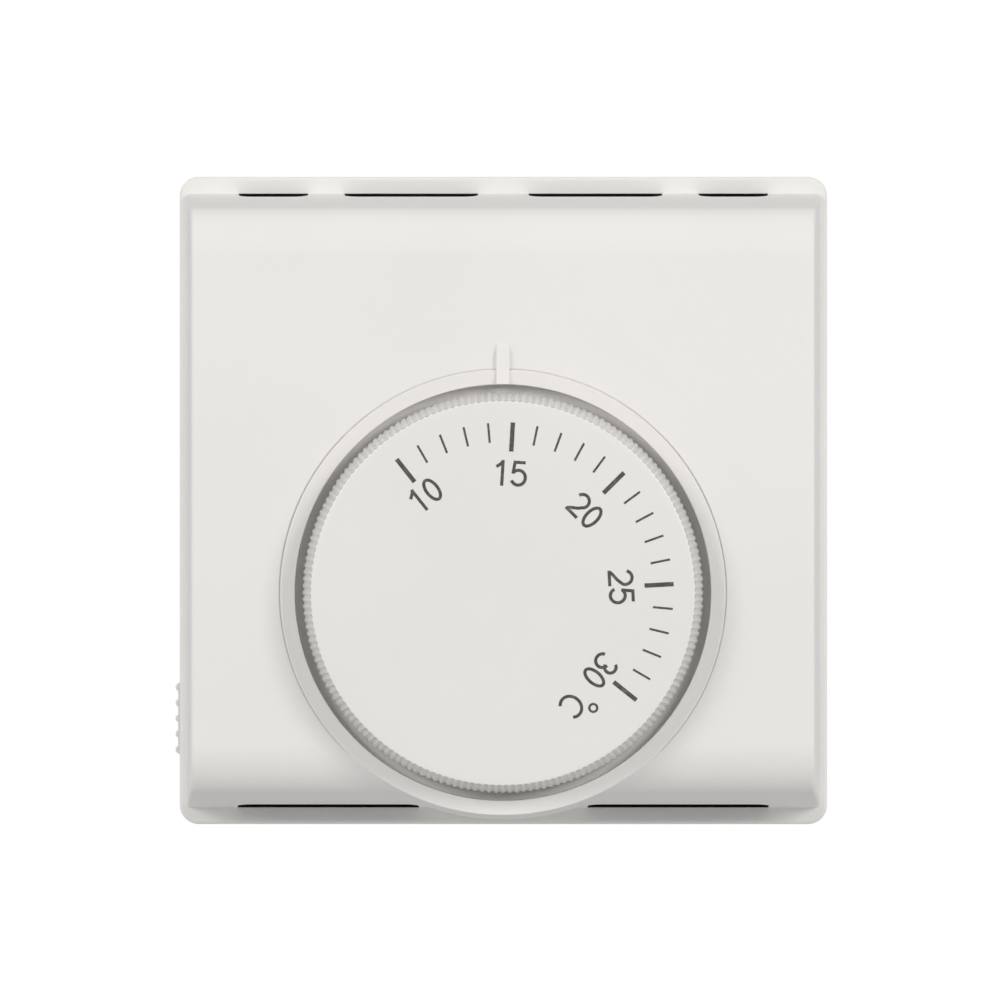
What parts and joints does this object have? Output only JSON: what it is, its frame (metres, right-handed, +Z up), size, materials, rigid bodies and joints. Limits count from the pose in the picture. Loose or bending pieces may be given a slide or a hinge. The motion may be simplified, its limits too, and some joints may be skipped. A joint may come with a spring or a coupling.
{
  "type": "wall thermostat",
  "caption": "Square white wall thermostat with a round ribbed temperature dial, vent slots and a small slide switch on its left side.",
  "frame": {"origin": "centre of the back face, where the base plate meets the wall", "axes": "+Z up the wall, -Y out of the wall towards the user, +X to the right as the user sees it"},
  "size_m": [0.0836, 0.038, 0.083],
  "materials": {
    "white_casing": "fine satin moulded white",
    "white_dial": "smooth satin white",
    "grey_base": "satin light grey",
    "dark_moulding": "satin dark phenolic",
    "cream_moulding": "satin cream nylon",
    "resistor_body": "lacquered",
    "brown_lead": "soft PVC sleeve",
    "blue_lead": "soft PVC sleeve",
    "bright_steel": "zinc plated",
    "spring_steel": "plain spring steel",
    "brass": "turned brass",
    "copper": "rolled copper alloy"
  },
  "bodies": {
    "base": {"front_cover": "white_casing", "base_plate": "grey_base", "cover_screw_upper": "bright_steel", "cover_screw_lower": "bright_steel", "mechanism_frame": "bright_steel", "frame_screw_left": "spring_steel", "frame_screw_right": "spring_steel", "fulcrum_bracket": "bright_steel", "fulcrum_screw": "spring_steel", "fulcrum_pin": "spring_steel", "lever_spring": "spring_steel", "snap_switch_housing": "dark_moulding", "snap_terminal_upper": "brass", "snap_terminal_lower": "brass", "slide_switch_housing": "dark_moulding", "slide_terminal_upper": "brass", "slide_terminal_lower": "brass", "terminal_block": "cream_moulding", "accelerator_resistor": "resistor_body", "supply_lead": "brown_lead", "switch_link_lead": "brown_lead", "load_lead": "blue_lead", "terminal_clamp_1": "brass", "terminal_screw_1": "bright_steel", "terminal_clamp_2": "brass", "terminal_screw_2": "bright_steel", "terminal_clamp_3": "brass", "terminal_screw_3": "bright_steel", "terminal_clamp_4": "brass", "terminal_screw_4": "bright_steel"},
    "dial": {"dial_knob": "white_dial", "dial_hub_ring": "spring_steel", "adjusting_spindle": "brass", "spindle_clip": "spring_steel"},
    "capsule": {"capsule_front_shell": "copper", "capsule_rear_shell": "copper", "capsule_guide_plate": "bright_steel", "adjusting_screw": "brass", "thrust_button": "brass"},
    "lever": {"actuating_lever": "brass"},
    "plunger": {"snap_switch_plunger": "cream_moulding"},
    "slide_switch": {"slide_knob": "white_casing", "slide_contact": "copper"}
  },
  "joints": [
    {"name": "dial_turn", "type": "hinge", "parent": "base", "child": "dial", "pos_m": [0, -0.031, -0.0115], "axis": [0, -1, 0], "range_deg": [-40, 130]},
    {"name": "capsule_travel", "type": "slide", "parent": "base", "child": "capsule", "axis": [0, -1, 0], "range_m": [-0.00011111, 0.00036111]},
    {"name": "lever_rock", "type": "hinge", "parent": "base", "child": "lever", "pos_m": [-0.028, -0.0104, -0.0115], "axis": [0, 0, 1], "range_deg": [-1.6, 1]},
    {"name": "plunger_travel", "type": "slide", "parent": "base", "child": "plunger", "axis": [0, -1, 0], "range_m": [-0.0006, 0.0012]},
    {"name": "slide_switch_travel", "type": "slide", "parent": "base", "child": "slide_switch", "axis": [0, 0, 1], "range_m": [-0.003, 0]}
  ],
  "couplings": [
    {"joint": "dial_turn", "follows": "capsule_travel", "rad_per_m": 6283.2},
    {"joint": "lever_rock", "follows": "capsule_travel", "rad_per_m": -35.714},
    {"joint": "plunger_travel", "follows": "capsule_travel", "ratio": 2.1071}
  ]
}
